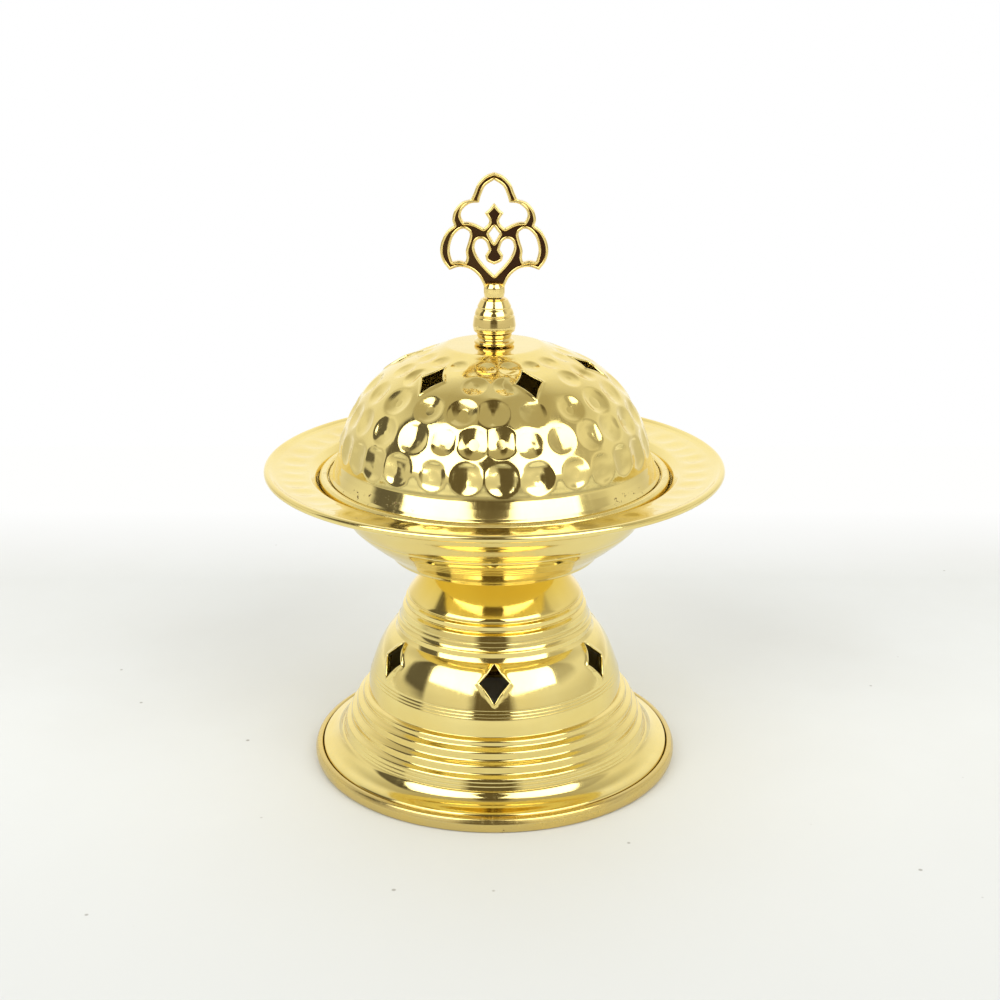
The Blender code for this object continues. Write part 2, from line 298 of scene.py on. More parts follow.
def turnedShell(outerPath, plain, dims):
    # A spun sheet with vents: the inner wall lies a sheet's thickness inside the plain path.
    innerPath = offsetPath(plain, dims["sheet"])
    innerPath[-1].y += dims["edge"]
    shape = bmesh.new()
    outer = turnedWall(shape, outerPath, dims["columns"], dims["spacing"], dims["vent"])
    innerVent = dict(dims["vent"], **dims["innerVent"])
    inner = turnedWall(shape, innerPath, dims["columns"], dims["innerSpacing"], innerVent)
    closeShell(shape, outer, inner)
    return shape


def turnedSection(points, columns, closed=True):
    # A solid ring from a closed section, or a solid from a line that starts and ends on the axis.
    shape = bmesh.new()
    spinPath(shape, list(points) + ([points[0]] if closed else []), columns)
    bmesh.ops.recalc_face_normals(shape, faces=shape.faces[:])
    return shape


def densify(points, spacing, closed=False):
    path = []
    chain = list(points) + ([points[0]] if closed else [])
    for first, second in zip(chain, chain[1:]):
        first, second = Vector(first[:2]), Vector(second[:2])
        count = max(1, math.ceil((second - first).length / spacing))
        path += [first.lerp(second, step / count) for step in range(count)]
    return path if closed else path + [Vector(chain[-1][:2])]


def placeNew(name, data):
    placed = bpy.data.objects.new(name, data)
    bpy.context.scene.collection.objects.link(placed)
    return placed


def finishPiece(name, shape, node, materials, sharp=None):
    mesh = bpy.data.meshes.new(name)
    shape.verts.layers.int.remove(shape.verts.layers.int["row"])
    shape.to_mesh(mesh)
    shape.free()
    piece = placeNew(name, mesh)
    for material in materials:
        mesh.materials.append(material)
    mesh.shade_smooth()
    if sharp:
        mesh.set_sharp_from_angle(angle=math.radians(sharp))
    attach(piece, frame["nodes"][node]["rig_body"])
    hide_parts(node)
    return piece


def turnedPiece(name, node, finish, path, spacing, columns, closed=True, sharp=None):
    shape = turnedSection(densify(path, spacing, closed), columns, closed)
    finishPiece(name, shape, node, [finish], sharp)


def paintStainAndShade(piece, amountAt):
    # How stained each point is, from 0 to 1, for the finish to read; on the bowl this also holds painted
    # shade under its rim.
    stain_and_shade = piece.data.attributes.new("stain_and_shade", "FLOAT", "POINT")
    for vert in piece.data.vertices:
        angle = math.degrees(math.atan2(vert.co.x, -vert.co.y))
        radius = math.hypot(vert.co.x, vert.co.y) / mm
        stain_and_shade.data[vert.index].value = amountAt(angle, radius, vert.co.z / mm)


def aroundAxis(out, turn, height):
    return Vector((out * math.sin(turn), -out * math.cos(turn), height))


def nearTree(spots):
    tree = KDTree(len(spots))
    for index, spot in enumerate(spots):
        tree.insert(spot, index)
    tree.balance()
    return tree


def between(value, low, high):
    return min(1.0, max(0.0, (value - low) / (high - low)))


# Finishes.


def putNode(tree, kind, inputs=None, **settings):
    node = tree.nodes.new(kind)
    for name, value in settings.items():
        setattr(node, name, value)
    for key, value in (inputs or {}).items():
        if isinstance(value, bpy.types.NodeSocket):
            tree.links.new(value, node.inputs[key])
        else:
            node.inputs[key].default_value = value
    return node


def mathOf(tree, operation, *values):
    return putNode(tree, "ShaderNodeMath", dict(enumerate(values)), operation=operation).outputs[0]


def axesOf(tree, vector):
    return putNode(tree, "ShaderNodeSeparateXYZ", {0: vector}).outputs


def times(tree, first, second):
    return mathOf(tree, "MULTIPLY", first, second)


def rangeOf(tree, value, fromLow, fromHigh, toLow=0.0, toHigh=1.0):
    inputs = {"Value": value, "From Min": fromLow, "From Max": fromHigh, "To Min": toLow, "To Max": toHigh}
    return putNode(tree, "ShaderNodeMapRange", inputs, clamp=True).outputs["Result"]


def noiseOf(tree, vector, scale, detail, roughness):
    inputs = {"Vector": vector, "Scale": scale, "Detail": detail, "Roughness": roughness}
    return putNode(tree, "ShaderNodeTexNoise", inputs).outputs["Fac"]


def mixColor(tree, share, first, second):
    node = putNode(tree, "ShaderNodeMix", {"Factor": share}, data_type="RGBA")
    for socket, value in ((node.inputs[6], first), (node.inputs[7], second)):
        if isinstance(value, bpy.types.NodeSocket):
            tree.links.new(value, socket)
        else:
            socket.default_value = (*value, 1.0)
    return node.outputs[2]


def newGroup(name, inputs, outputs):
    group = bpy.data.node_groups.new(name, "ShaderNodeTree")
    for label, kind, value in inputs:
        socket = group.interface.new_socket(label, in_out="INPUT", socket_type=kind)
        if value is not None:
            socket.default_value = value
    for label in outputs:
        group.interface.new_socket(label, in_out="OUTPUT", socket_type="NodeSocketFloat")
    return group, group.nodes.new("NodeGroupInput"), group.nodes.new("NodeGroupOutput")


def putOut(group, result, **masks):
    for label, mask in masks.items():
        group.links.new(mask, result.inputs[label])
    return group


def makeTurnedLines():
    # Fine polishing and turning lines that run round the upright axis, broken into arcs.
    inputs = [("Position", "NodeSocketVector", None), ("Fineness", "NodeSocketFloat", 2.0)]
    group, given, result = newGroup("turned lines", inputs, ["Lines", "Streaks"])
    x, y, z = axesOf(group, given.outputs["Position"])
    radius = mathOf(group, "SQRT", mathOf(group, "ADD", times(group, x, x), times(group, y, y)))
    safe = mathOf(group, "MAXIMUM", radius, 0.0001)
    cosine = mathOf(group, "DIVIDE", x, safe)
    sine = mathOf(group, "DIVIDE", y, safe)
    slope = times(group, given.outputs["Fineness"], 1000.0)
    rings = putNode(group, "ShaderNodeCombineXYZ", {
        0: times(group, radius, slope),
        1: times(group, z, slope),
        2: times(group, cosine, 1.3),
    })
    lines = putNode(group, "ShaderNodeTexNoise", {
        "Vector": rings.outputs[0], "W": times(group, sine, 1.3), "Scale": 1.0, "Detail": 3.0,
    }, noise_dimensions="4D")
    streak = putNode(group, "ShaderNodeCombineXYZ", {
        0: times(group, cosine, 40.0),
        1: times(group, sine, 40.0),
        2: times(group, z, 90.0),
    })
    streaks = rangeOf(group, noiseOf(group, streak.outputs[0], 1.0, 4.0, 0.6), 0.42, 0.72)
    return putOut(group, result, Lines=lines.outputs["Fac"], Streaks=streaks)


def makePatina():
    # Cloudy tarnish, and small dark spots where moisture has bitten the metal; a higher stain input packs the
    # spots closer, and on the bowl that input also holds painted shade under the rim.
    inputs = [("Position", "NodeSocketVector", None), ("StainAndShade", "NodeSocketFloat", 0.0)]
    group, given, result = newGroup("patina", inputs, ["Cloud", "Spots"])
    position = given.outputs["Position"]
    cloud = rangeOf(group, noiseOf(group, position, 45.0, 4.0, 0.55), 0.4, 0.7)
    coarse = noiseOf(group, position, 620.0, 5.0, 0.62)
    fine = noiseOf(group, position, 1900.0, 3.0, 0.6)
    both = mathOf(group, "ADD", times(group, coarse, 0.65), times(group, fine, 0.35))
    limit = rangeOf(group, given.outputs["StainAndShade"], 0.0, 1.0, 0.78, 0.44)
    spots = rangeOf(group, mathOf(group, "SUBTRACT", both, limit), 0.0, 0.05)
    return putOut(group, result, Cloud=cloud, Spots=spots)


def makeEdgeWear():
    # Bright rubbed edges and darker hollows, from how sharply the surface bends.
    inputs = [("Sharpness", "NodeSocketFloat", 1.0)]
    group, given, result = newGroup("edge wear", inputs, ["Edges", "Hollows"])
    bend = putNode(group, "ShaderNodeNewGeometry").outputs["Pointiness"]
    edges = times(group, rangeOf(group, bend, 0.51, 0.6), given.outputs["Sharpness"])
    hollows = times(group, rangeOf(group, bend, 0.49, 0.4), given.outputs["Sharpness"])
    return putOut(group, result, Edges=edges, Hollows=hollows)


def makeDust():
    # A thin film on faces that look up.
    inputs = [("Position", "NodeSocketVector", None), ("Amount", "NodeSocketFloat", 0.2)]
    group, given, result = newGroup("dust", inputs, ["Film"])
    normal = putNode(group, "ShaderNodeNewGeometry").outputs["Normal"]
    facing = rangeOf(group, axesOf(group, normal)[2], 0.6, 1.0)
    grains = rangeOf(group, noiseOf(group, given.outputs["Position"], 900.0, 4.0, 0.7), 0.45, 0.8)
    film = times(group, times(group, facing, grains), given.outputs["Amount"])
    return putOut(group, result, Film=film)


turnedLines = makeTurnedLines()
patina = makePatina()
edgeWear = makeEdgeWear()
dust = makeDust()


def placeGroup(tree, group, inputs):
    return putNode(tree, "ShaderNodeGroup", inputs, node_tree=group)


def newFinish(name, lines, stain_and_shade):
    # A material with its turning lines, tarnish and wear, ready for its own colours.
    material = bpy.data.materials.new(name)
    material.use_nodes = True
    tree = material.node_tree
    position = putNode(tree, "ShaderNodeTexCoord").outputs["Object"]
    turned = placeGroup(tree, turnedLines, {"Position": position, "Fineness": lines})
    if stain_and_shade == "painted":
        # The per-point stain attribute; on the bowl it also carries painted shade under the rim.
        stain_and_shade = putNode(tree, "ShaderNodeAttribute", attribute_name="stain_and_shade").outputs["Fac"]
    tarnishAndShade = placeGroup(tree, patina, {"Position": position, "StainAndShade": stain_and_shade})
    worn = placeGroup(tree, edgeWear, {"Sharpness": 1.0})
    return material, tree, position, turned.outputs, tarnishAndShade.outputs, worn.outputs


def raiseLines(tree, shader, strength, distance, height):
    inputs = {"Strength": strength, "Distance": distance * mm, "Height": height}
    tree.links.new(putNode(tree, "ShaderNodeBump", inputs).outputs[0], shader.inputs["Normal"])


brassTones = {
    "bright": (0.885, 0.735, 0.290),
    "warm": (0.790, 0.570, 0.140),
    "deep": (0.860, 0.600, 0.070),
    "hollow": (0.26, 0.145, 0.035),
    "brown": (0.115, 0.062, 0.018),
    "dust": (0.60, 0.56, 0.46),
}


def makeBrass(name, rough, lines, bump, cloud, dusty=0.15, tone=None, stain_and_shade=0.0, soot=None, deepBand=None):
    material, tree, position, turned, tarnishAndShade, worn = newFinish(name, lines, stain_and_shade)
    shader = tree.nodes["Principled BSDF"]
    film = placeGroup(tree, dust, {"Position": position, "Amount": dusty}).outputs["Film"]
    height = axesOf(tree, position)[2] if deepBand or soot else 0.0
    clouded = times(tree, tarnishAndShade["Cloud"], cloud)
    color = mixColor(tree, clouded, tone or brassTones["bright"], brassTones["warm"])
    if deepBand:  # the gold is deeper and more saturated from the band's low height up
        deepening = rangeOf(tree, height, deepBand["low"] * mm, deepBand["high"] * mm, 0.0, deepBand["amount"])
        color = mixColor(tree, deepening, color, brassTones["deep"])
    color = mixColor(tree, times(tree, worn["Hollows"], 0.6), color, brassTones["hollow"])
    spots = tarnishAndShade["Spots"]
    if soot:
        rising = rangeOf(tree, height, soot["high"] * mm, soot["low"] * mm)
        uneven = rangeOf(tree, noiseOf(tree, position, 120.0, 5.0, 0.6), 0.3, 0.7, -0.35, 0.35)
        smoked = times(tree, rangeOf(tree, mathOf(tree, "ADD", rising, uneven), 0.1, 1.0), soot["amount"])
        spots = mathOf(tree, "MAXIMUM", spots, smoked)
    color = mixColor(tree, spots, color, brassTones["brown"])
    color = mixColor(tree, film, color, brassTones["dust"])
    tree.links.new(color, shader.inputs["Base Color"])
    roughness = rangeOf(tree, turned["Lines"], 0.3, 0.7, rough * 0.8, rough * 1.3)
    dulling = [(turned["Streaks"], 0.07), (clouded, 0.10), (worn["Edges"], -0.04), (spots, 0.45), (film, 0.4)]
    for mask, amount in dulling:
        roughness = mathOf(tree, "ADD", roughness, times(tree, mask, amount))
    tree.links.new(roughness, shader.inputs["Roughness"])
    metallic = mathOf(tree, "SUBTRACT", 1.0, times(tree, spots, 0.5))
    tree.links.new(metallic, shader.inputs["Metallic"])
    relief = mathOf(tree, "ADD", turned["Lines"], times(tree, spots, -1.5))
    raiseLines(tree, shader, bump, 0.02, relief)
    return material


steelTones = {
    "plate": (0.62, 0.61, 0.58), "heated": (0.42, 0.36, 0.27),
    "rust": (0.14, 0.08, 0.04), "rubbed": (0.80, 0.79, 0.76),
}


def makeSteel(name):
    # Plated fastenings, dulled by heat.
    material, tree, position, turned, tarnishAndShade, worn = newFinish(name, 4.0, 0.45)
    shader = tree.nodes["Principled BSDF"]
    color = mixColor(tree, tarnishAndShade["Cloud"], steelTones["plate"], steelTones["heated"])
    color = mixColor(tree, tarnishAndShade["Spots"], color, steelTones["rust"])
    color = mixColor(tree, times(tree, worn["Edges"], 0.6), color, steelTones["rubbed"])
    tree.links.new(color, shader.inputs["Base Color"])
    tree.links.new(rangeOf(tree, turned["Lines"], 0.3, 0.7, 0.24, 0.38), shader.inputs["Roughness"])
    shader.inputs["Metallic"].default_value = 1.0
    raiseLines(tree, shader, 0.3, 0.03, turned["Lines"])
    return material


cupFoot, cupBrim, cupRadius = levels("ember_cup")
cupSoot = {"low": cupFoot + 2.0, "high": cupBrim - 5.0, "amount": 0.75}
# The pedestal's gold is deeper and more saturated from 52 mm up.
neckDeepGold = {"low": 52.0, "high": 60.5, "amount": 0.75}
footTone = (0.68, 0.53, 0.20)
castTone = (0.89, 0.70, 0.27)
sunkTone = (0.058, 0.026, 0.012)

# Each has its roughness, the fineness and relief of its turning lines, and how cloudy its tarnish is.
spunBrass = makeBrass("spun brass", 0.06, 1.2, 0.08, 0.35)
pedestalBrass = makeBrass("pedestal brass", 0.06, 1.2, 0.08, 0.35, deepBand=neckDeepGold)
bowlBrass = makeBrass("bowl brass", 0.07, 1.2, 0.08, 0.30, stain_and_shade="painted")
hammeredBrass = makeBrass("hammered brass", 0.07, 1.0, 0.04, 0.30, stain_and_shade="painted")
footBrass = makeBrass("foot brass", 0.17, 2.0, 0.2, 0.6, tone=footTone, stain_and_shade="painted")
cupBrass = makeBrass("cup brass", 0.20, 1.8, 0.4, 0.3, soot=cupSoot)
castBrass = makeBrass("cast brass", 0.06, 1.5, 0.04, 0.25, tone=castTone)
sunkBrass = makeBrass("darkened brass", 0.34, 1.5, 0.3, 0.05, dusty=0.0, tone=sunkTone)
platedSteel = makeSteel("plated steel")
print("finishes ready")


# The foot and the pierced pedestal.

footDims = {"columns": 264, "inside": 5.4, "seam": 2.2, "uneven": 0.05, "stain_and_shade": 0.45}


def makeFootRing():
    bottom, top, radius = levels("foot_ring")
    inner = radius - footDims["inside"]
    seam = radius - footDims["seam"]
    corners = [
        (seam, top - 0.35, 0.3), (seam + 0.5, top, 0.4), (radius - 0.6, top - 0.35, 0.9),
        (radius, top - 1.9, 1.3), (radius - 0.05, bottom + 1.4, 0.9), (radius - 0.6, bottom, 0.8),
        (inner, bottom, 0.3), (inner, bottom + 1.0, 0.2), (seam, bottom + 1.3, 0.2),
    ]
    section = densify(roundCorners(corners, closed=True), 0.7, closed=True)
    shape = turnedSection(section, footDims["columns"])
    for vert in shape.verts:  # the rolled bead is a little uneven where it meets the table
        low = between(vert.co.z / mm, 2.2, 0.4) if vert.co.z / mm > 0.2 else 0
        shove = noise.noise(vert.co * 900) * footDims["uneven"] * low
        vert.co.xy *= 1 - abs(shove) / radius * 1.5
    piece = finishPiece("rolled_foot_ring", shape, "foot_ring", [footBrass])
    paintStainAndShade(piece, lambda angle, r, z: footDims["stain_and_shade"] * between(z, 3.2, 1.2))


pedestalDims = {
    "columns": 300,
    "spacing": 0.78,
    "innerSpacing": 4.0,
    "sheet": 1.0,
    "edge": 0.3,  # the inner wall stops this much higher
    "hole": 3.3,
    "vent": {
        "count": 6, "turn": 0.0, "length": 12.4, "width": 9.0, "hollow": 0.11, "lip": 0.62,
        "target": Vector((35.4, 37.7)), "above": 6.35, "below": 7.6, "reach": 11, "hole": 5,
    },
    "innerVent": {"length": 13.4, "width": 9.8, "reach": 7, "lip": 0.0, "target": Vector((34.5, 37.2))},
}


def makePedestal():
    bottom, top, radius = levels("pedestal")
    hole = pedestalDims["hole"]
    cap = roundCorners([(hole, top), (18.3, top, 3.4), (20.4, 63.0)])
    shoulder = curveThrough([(20.4, 63.0), (22.35, 60.5), (24.75, 57.3), (26.8, 54.6)], 0.7)
    collars = roundCorners([
        (26.8, 54.6), (27.1, 53.9, 0.4), (26.75, 53.3, 0.3), (27.8, 52.7, 0.5), (27.9, 51.4, 0.4),
        (27.5, 50.8, 0.25), (28.7, 50.1, 0.5), (29.1, 48.6, 0.4),
    ])[1:]
    lined = cutLines((29.1, 48.6), (29.9, 45.9), 2, 0.06)
    waist = roundCorners([
        (29.9, 45.9), (30.6, 45.3, 0.5), (30.5, 43.8, 0.5), (31.2, 42.5, 0.35), (31.7, 42.2),
    ])[1:]
    dome = curveThrough([
        (31.7, 42.2), (33.4, 40.8), (34.8, 38.9), (36.1, 36.5), (37.2, 34.0), (38.15, 31.4),
    ], 0.7)[1:]
    turnedBand = cutLines((38.15, 31.4), (39.4, 27.7), 4, 0.05)[1:]
    skirt = curveThrough([(39.4, 27.7), (39.8, 25.4), (40.0, 23.2)], 0.8)[1:]
    steps = roundCorners([
        (40.0, 23.2), (40.1, 22.4, 0.25), (41.8, 21.9, 0.8), (41.7, 20.2, 0.8), (43.8, 19.2, 0.9),
        (43.7, 16.7, 0.9), (45.7, 15.6, 0.9), (45.6, 13.1, 0.8), (47.3, 12.3, 0.7), (47.5, 11.6),
    ])[1:]
    band = cutLines((47.5, 11.6), (48.2, 9.4), 2, 0.05)[1:]
    cove = curveThrough([(48.75, 8.8), (49.4, 7.75), (50.4, 6.75), (52.0, 5.8), (54.1, 5.1)], 0.5)
    flare = roundCorners([(48.2, 9.4), (48.3, 9.0, 0.1), (48.75, 8.8)])[1:-1]
    flare += cove[:-1] + roundCorners([
        (54.1, 5.1), (radius - 0.25, 4.85, 0.3), (radius, 4.3, 0.25), (radius, bottom),
    ])[1:]
    outerPath = cap + shoulder[1:] + collars + lined[1:] + waist + dome + turnedBand + skirt
    outerPath += steps + band + flare
    plain = [(hole, top), (18.6, top), (22.3, 60.4), (25.4, 55.0), (27.6, 51.0), (30.2, 45.0), (31.9, 42.1)]
    plain += [(35.1, 37.4), (38.2, 31.2), (40.6, 22.9), (43.4, 18.4), (46.9, 12.2), (48.8, 8.3)]
    plain += [(50.4, 6.7), (52.0, 5.8), (radius, 4.4), (radius, bottom)]
    shape = turnedShell(outerPath, plain, pedestalDims)
    finishPiece("spun_pedestal", shape, "pedestal", [pedestalBrass])


makeFootRing()
makePedestal()
print("foot and pedestal turned")


# The bowl with its broad rim.

bowlDims = {
    "columns": 384,
    "hole": 3.3,
    "bead": 1.1,
    "sheet": 1.0,
    "dents": {"count": 46, "radius": 61.2, "reach": 4.3, "depth": 0.34},
}


def makeBowl():
    bottom, top, radius = levels("bowl")
    bead = bowlDims["bead"]
    centre = Vector((radius - bead, top - bead))
    turns = [math.radians(angle) for angle in range(125, -106, -15)]
    roll = [centre + bead * Vector((math.cos(turn), math.sin(turn))) for turn in turns]
    under = roundCorners([
        roll[-1],
        (67.2, top - 2.05, 0.5), (57.0, top - 3.15, 2.0), (55.3, top - 4.2, 1.0),
        (54.6, top - 5.9, 1.0), (52.6, top - 6.5, 1.2), (50.8, top - 8.0, 1.5), (49.3, top - 10.6),
    ])[1:]
    belly = curveThrough([(49.3, 85.8), (48.2, 84.2), (46.3, 81.1), (45.1, 79.5)], 0.8)[1:]
    ring = roundCorners([(45.1, 79.5), (44.75, 79.25, 0.1), (44.7, 78.95, 0.1), (44.35, 78.5)])[1:]
    lower = curveThrough([(44.35, 78.5), (42.7, 76.8), (41.6, 75.8)], 0.8)[1:]
    lines = cutLines((41.6, 75.8), (38.2, 73.0), 3, 0.06)[1:]
    heel = roundCorners([
        (38.2, 73.0), (34.5, 70.2, 6.0), (32.7, 68.6, 0.5), (32.2, bottom, 0.8),
        (bowlDims["hole"], bottom),
    ])[1:]
    floorHeight = bottom + bowlDims["sheet"]
    inside = roundCorners([
        (bowlDims["hole"], floorHeight), (31.3, floorHeight, 2.0), (33.9, 71.1, 6.0),
        (38.4, 74.4, 12.0), (43.3, 78.9, 12.0), (47.4, 84.9, 8.0), (50.1, 88.9, 2.0),
        (52.2, 90.85, 1.0), (53.75, 91.25, 0.7), (54.5, 92.8, 1.2), (56.4, 94.2, 1.6),
        (66.6, top - 1.0, 1.2), (67.6, top - 0.62, 0.5),
        tuple(roll[0]),
    ])[:-1]
    section = densify(roll + under + belly + ring + lower + lines + heel + inside, 1.1, closed=True)
    shape = turnedSection(section, bowlDims["columns"])
    denting = bowlDims["dents"]
    centres = []
    for number in range(denting["count"]):
        turn = (number + chance.uniform(-0.18, 0.18)) / denting["count"] * math.tau
        out = denting["radius"] + chance.uniform(-0.5, 0.5)
        centres.append((aroundAxis(out, turn, 0), chance.uniform(0.6, 1.2)))
    tree = nearTree([centre for centre, depth in centres])
    for vert in shape.verts:  # soft hammer marks round the rim, on its upper face and its lower face
        x, y = vert.co.x / mm, vert.co.y / mm
        if not 55.5 < math.hypot(x, y) < 67.0 or vert.co.z / mm < 92.0:
            continue
        spot, index, away = tree.find((x, y, 0))
        share = between(away, denting["reach"], denting["reach"] * 0.35)
        vert.co.z -= denting["depth"] * centres[index][1] * share * share * (3 - 2 * share) * mm
    piece = finishPiece("spun_bowl", shape, "bowl", [bowlBrass])

    def stainAndShadeOf(angle, r, z):
        turn = math.radians(angle)
        wide = noise.noise(Vector((math.cos(turn), math.sin(turn), 0.4)) * 2.2)
        # Painted shade: the rim's underside and the recess inside it get denser dark spots, standing in for
        # shade under the rim.
        paintedShadeUnderRim = between(r, 50.5, 53.0) * between(r, 68.0, 66.0) * between(z, 94.0, 93.0)
        well = between(r, 50.0, 53.0) * between(r, 57.0, 55.2) * between(z, 90.0, 91.0)
        smoked = between(z, 90.0, 78.0) * between(r, 47.5 + (z - 85) * 0.5, 44.0) * 0.3
        return max(paintedShadeUnderRim * 0.6, well * 0.3, smoked) * between(wide, -0.5, 0.4)

    paintStainAndShade(piece, stainAndShadeOf)


makeBowl()
print("bowl turned")


# The lift-out ember cup.

cupDims = {"columns": 240, "wall": 0.9, "lip": 2.5, "seat": 92.0}


def makeEmberCup():
    bottom, top, radius = cupFoot, cupBrim, cupRadius
    seat = cupDims["seat"]
    lipInner = radius - cupDims["lip"]
    corners = [
        (0.0, bottom + cupDims["wall"]), (23.6, bottom + cupDims["wall"], 12.0), (36.7, 77.95, 18.0),
        (41.6, 81.6, 12.0), (44.75, 85.8, 8.0), (46.25, 89.9, 3.0), (47.2, seat, 0.4),
        (lipInner, seat, 0.15), (lipInner, top - 0.5, 0.15), (lipInner + 0.5, top - 0.02, 0.45),
        (radius - 0.8, top, 0.7), (radius, top - 0.7, 0.7), (radius, top - 2.0, 0.2),
        (radius - 0.5, top - 2.1, 0.2), (lipInner - 0.4, top - 2.6, 0.3), (47.9, top - 2.7, 0.3),
        (47.1, 89.6, 3.0), (45.6, 85.4, 8.0), (42.3, 81.0, 12.0), (37.2, 77.2, 18.0),
        (24.0, bottom, 12.0), (0.0, bottom),
    ]
    path, columns = roundCorners(corners), cupDims["columns"]
    turnedPiece("spun_ember_cup", "ember_cup", cupBrass, path, 1.4, columns, closed=False)


makeEmberCup()
print("ember cup turned")


# The hammered lid.

lidDims = {
    "columns": 432,
    "spacing": 0.66,
    "innerSpacing": 4.0,
    "sheet": 1.0,
    "edge": 0.3,
    "hole": 2.2,
    "vent": {
        "count": 6, "turn": 21.0, "length": 12.4, "width": 8.2, "hollow": 0.12, "lip": 0.34,
        "target": Vector((28.1, 126.9)), "above": 8.0, "below": 8.2, "reach": 18, "hole": 8,
    },
    "innerVent": {"length": 13.2, "width": 9.0, "reach": 10, "lip": 0.0, "target": Vector((27.7, 126.0))},
    "blowDepth": 0.82,
    "ventClear": (5.2, 7.6),
    # Hammer blows from the brim up: ring radius, height, blows a turn, a blow's reach, struck at the front.
    "rows": [
        (46.75, 104.9, 31, 4.95, (-58, -48, -35.8, -21.7, -9.9, 2.4, 15, 30.3, 41.8, 52.8, 64.3)),
        (42.2, 113.8, 29, 4.75, (-62.3, -47.8, -33, -19.3, -7.6, 3.3, 13.6, 26.7, 41, 52.7, 66.5)),
        (36.7, 121.1, 21, 4.7, (-67, -49.3, -30.6, -13.6, 0.2, 18, 36.6, 53.3, 70)),
        (28.4, 126.8, 12, 4.1, (-69, -52, -11.2, 7.0, 49, 66)),
        (20.8, 129.8, 18, 3.1, (-49, -29, -6, 12.7, 31, 50)),
    ],
}


def blowCentres():
    # The blows struck at the front keep their places, and the rest go round at an even pace.
    blows = []
    for radius, height, count, reach, struck in lidDims["rows"]:
        left = 360 - (struck[-1] - struck[0])
        more = count - len(struck)
        if count == 12:  # two between each pair of vents
            angles = [21 + 60 * number + side for number in range(6) for side in (21.0, 39.5)]
            angles = list(struck) + [a for a in angles if 80 < a % 360 < 280]
        elif count == 18:  # three to each vent
            angles = [21 + 60 * number + side for number in range(6) for side in (-10.0, 10.0, 30.0)]
            angles = list(struck) + [a for a in angles if 65 < a % 360 < 300]
        else:
            angles = list(struck) + [struck[-1] + left * (step + 1) / (more + 1) for step in range(more)]
        for angle in angles:
            turn = math.radians(angle + chance.uniform(-0.6, 0.6))
            out = radius + chance.uniform(-0.25, 0.25)
            size = reach * chance.uniform(0.9, 1.06)
            spot = aroundAxis(out, turn, height + chance.uniform(-0.35, 0.35))
            tilt = Vector([chance.uniform(-1, 1) for axis in range(3)]) * 0.10
            depth = lidDims["blowDepth"] * (size / 4.2) ** 1.6 * chance.uniform(0.8, 1.15)
            blows.append((spot, size, depth, tilt))
    return blows


def makeLid():
    bottom, top, radius = levels("lid")
    crown = roundCorners([(lidDims["hole"], top), (14.6, top - 0.1, 2.5), (17.0, 131.5, 2.0), (20.7, 130.1)])
    dome = curveThrough([
        (20.7, 130.1), (26.2, 128.0), (30.8, 125.6), (34.7, 122.9), (38.0, 119.8),
        (41.0, 115.9), (43.8, 111.0), (45.4, 107.7), (46.7, 104.9), (47.2, 101.5), (47.4, 99.8),
    ], 0.6)[1:]
    brim = roundCorners([
        (47.4, 99.8), (47.6, 98.6, 1.2), (48.5, 96.6, 2.5), (49.7, 94.2, 1.0), (radius, 93.3, 0.5),
        (radius, bottom),
    ])[1:]
    outerPath = crown + dome + brim
    plain = [(lidDims["hole"], top), (13.0, top), (17.2, 131.35), (20.9, 129.9), (26.2, 128.0), (30.8, 125.6)]
    plain += [(34.7, 122.9), (38.0, 119.8), (41.0, 115.9), (43.8, 111.0), (46.0, 106.0), (47.2, 101.5)]
    plain += [(48.2, 97.3), (49.8, 94.2), (radius, 93.4), (radius, bottom)]
    shape = turnedShell(outerPath, plain, lidDims)
    blows = blowCentres()
    tree = nearTree([blow[0] for blow in blows])
    shape.normal_update()
    moves = []
    middle = 88.0  # outer points look away from this height
    vent = lidDims["vent"]
    ventSpots = [aroundAxis(vent["target"].x, turn, vent["target"].y) for turn in ventTurns(vent)]
    for vert in shape.verts:
        place = vert.co / mm
        if place.z < 98.0:
            continue
        facing = Vector((place.x, place.y, (place.z - middle) * 1.3)).normalized()
        if vert.normal.dot(facing) < 0.2:
            continue
        depth = 0.0
        for spot, index, away in tree.find_range(place, 5.5):
            centre, size, strength, tilt = blows[index]
            if away < size:
                share = away / size
                lean = tilt.dot(place - centre) / size
                cup = 1 - share ** 2.2
                eye = 0.12 * between(share, 0.34, 0.22)
                depth = max(depth, strength * (cup + eye) * (1 + lean))
        swell = noise.noise(place * 0.09) * 0.14
        nearVent = min((place - spot).length for spot in ventSpots)
        depth *= between(nearVent, *lidDims["ventClear"])
        moves.append((vert, facing * (swell * between(place.z, 100, 104) - depth) * mm))
    for vert, move in moves:
        vert.co += move
    piece = finishPiece("hammered_lid", shape, "lid", [hammeredBrass])

    def stainAndShadeOf(angle, r, z):
        if r < radius - 5:
            return 0.0
        heavy = max(between(abs(angle + 42), 42, 12), between(abs(angle - 50), 30, 8), 0.3) * 0.62
        return heavy * between(z, 99.5, 96.0) * between(z, 92.0, 93.2)

    paintStainAndShade(piece, stainAndShadeOf)


makeLid()
print("lid hammered")


# The cast finial.

finialDims = {"columns": 96, "hole": 2.2, "boss": 3.15}


def makeCollar():
    bottom, top, radius = levels("finial_collar")
    corners = [
        (5.3, top, 0.2), (5.15, top - 0.8, 0.3), (4.85, top - 1.4, 0.35), (5.35, top - 2.0, 0.4),
        (radius, top - 2.3, 0.35), (radius, bottom + 0.15, 0.15), (radius - 0.3, bottom, 0.1),
        (finialDims["hole"], bottom), (finialDims["hole"], top),
    ]
    path = roundCorners(corners, closed=True)
    turnedPiece("cast_collar", "finial_collar", castBrass, path, 0.5, finialDims["columns"])


